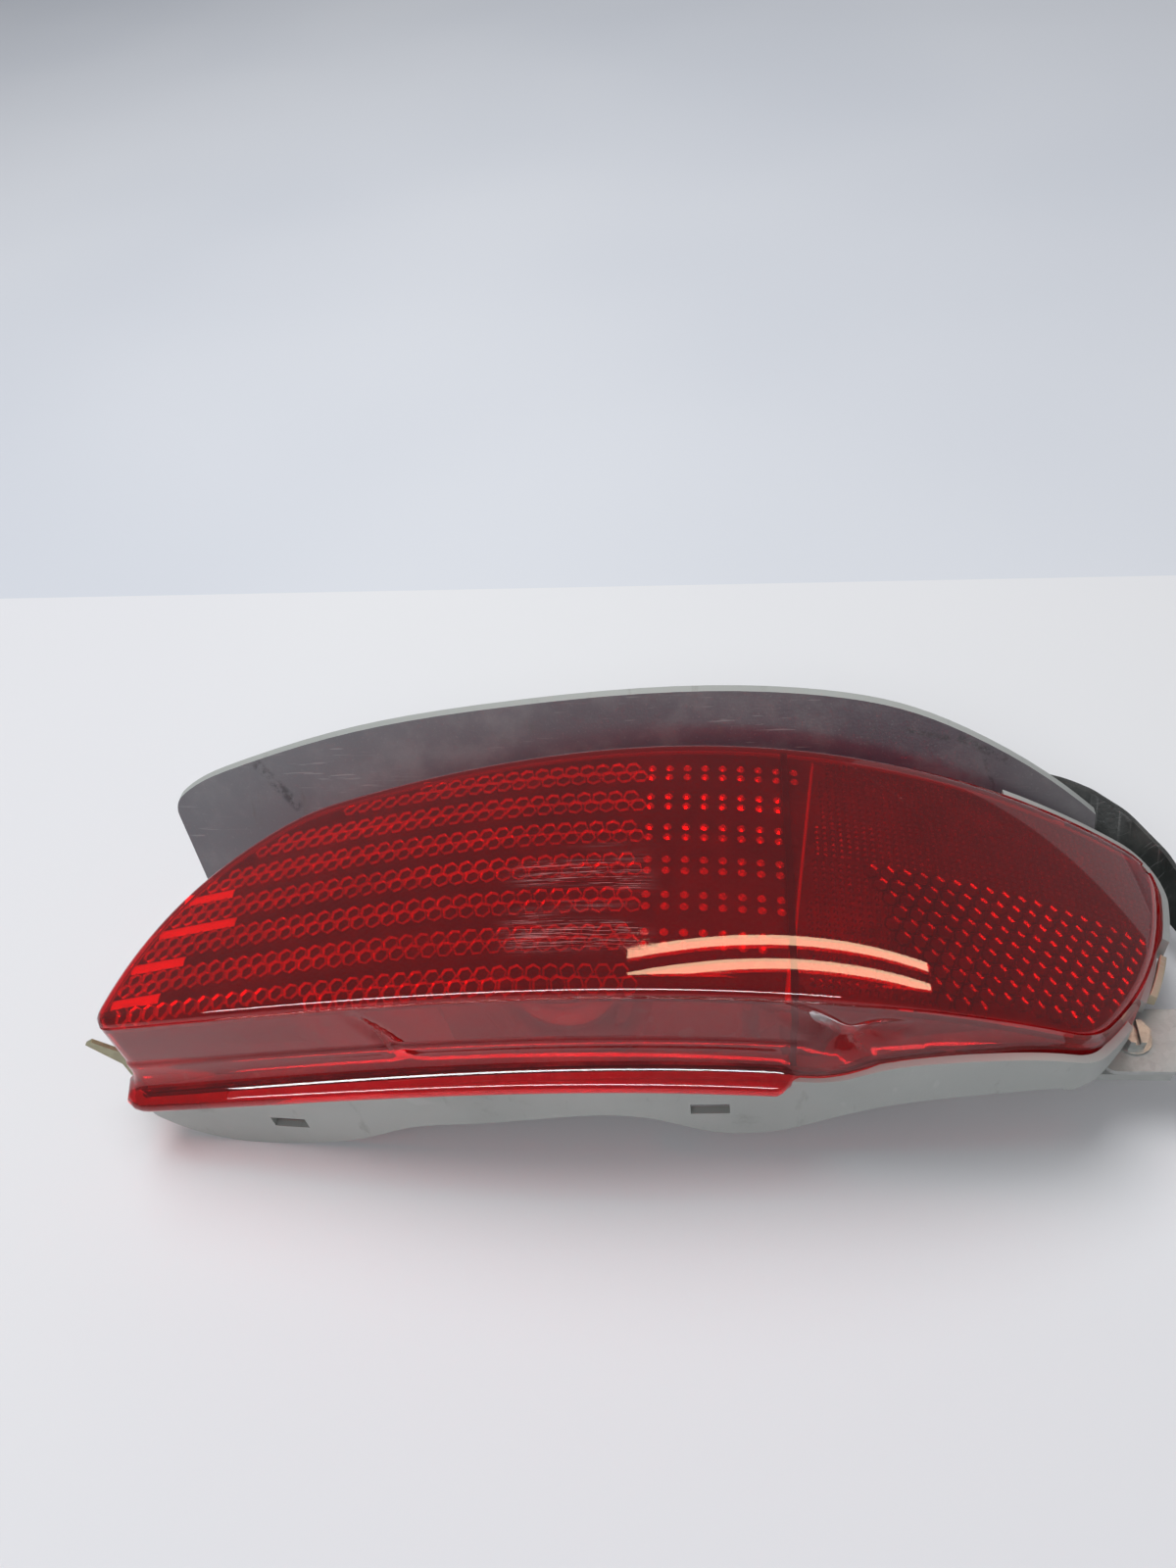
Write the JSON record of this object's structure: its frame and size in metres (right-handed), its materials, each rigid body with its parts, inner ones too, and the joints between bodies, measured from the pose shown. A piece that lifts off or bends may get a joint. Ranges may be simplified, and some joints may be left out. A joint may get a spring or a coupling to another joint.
{
  "type": "rear bumper marker lamp",
  "caption": "Wrap-around red rear lamp for a bumper: prism-patterned lens on a sealed body, grey mounting frame with a leaning flange, bracket, shield and twist-lock bulb holder.",
  "frame": {"origin": "centre of the lamp's bounding box, on the plane that its back rests on", "axes": "+X along the lamp towards its wrapped end, +Y to the vehicle's top, +Z out of the lens"},
  "size_m": [0.39, 0.1414, 0.097],
  "materials": {
    "red_lens": "clear red acrylic, glossy, worn",
    "red_optic": "red acrylic with moulded prisms",
    "red_reflex": "moulded reflex cells",
    "seal_rubber": "soft, matte",
    "body_plastic": "grey, fine grain",
    "vent_rubber": "matte",
    "metallised": "vacuum metallised",
    "frame_plastic": "grey, dusty",
    "screw_steel": "zinc plated",
    "bracket_steel": "galvanised",
    "tab_steel": "dull yellow zinc",
    "rivet_aluminium": "plain",
    "foam": "closed-cell foam",
    "shield_plastic": "moulded black",
    "rivet_plastic": "nylon",
    "socket_plastic": "glass-filled nylon",
    "terminal_brass": "tinned",
    "contact_steel": "spring strip",
    "bulb_glass": "clear",
    "filament_metal": "tungsten"
  },
  "bodies": {
    "lamp": {"lens": "red_lens", "prism_plate": "red_optic", "reflex_panel": "red_reflex", "lens_seal": "seal_rubber", "chamber_divider": "body_plastic", "lamp_body": "body_plastic", "vent_cap": "vent_rubber", "reflector_bowl": "metallised", "mounting_frame": "frame_plastic", "frame_screws": "screw_steel", "bracket_screw": "screw_steel", "bracket_nut": "screw_steel", "right_bracket": "bracket_steel", "left_tab": "tab_steel", "tab_rivet": "rivet_aluminium", "foam_strip": "foam", "splash_shield": "shield_plastic", "push_rivets": "rivet_plastic"},
    "bulb_holder": {"bulb_socket": "socket_plastic", "connector_terminals": "terminal_brass", "socket_contacts": "contact_steel", "socket_seal": "seal_rubber"},
    "bulb": {"bulb_glass": "bulb_glass", "bulb_filament": "filament_metal", "filament_posts": "filament_metal"}
  },
  "joints": [
    {"name": "socket_twist", "type": "hinge", "parent": "lamp", "child": "bulb_holder", "pos_m": [-0.026, -0.01459, 0.03], "axis": [0, 0, 1], "range_deg": [0, 45]},
    {"name": "bulb_pull", "type": "slide", "parent": "bulb_holder", "child": "bulb", "axis": [0, 0, 1], "range_m": [0, 0.013]}
  ]
}
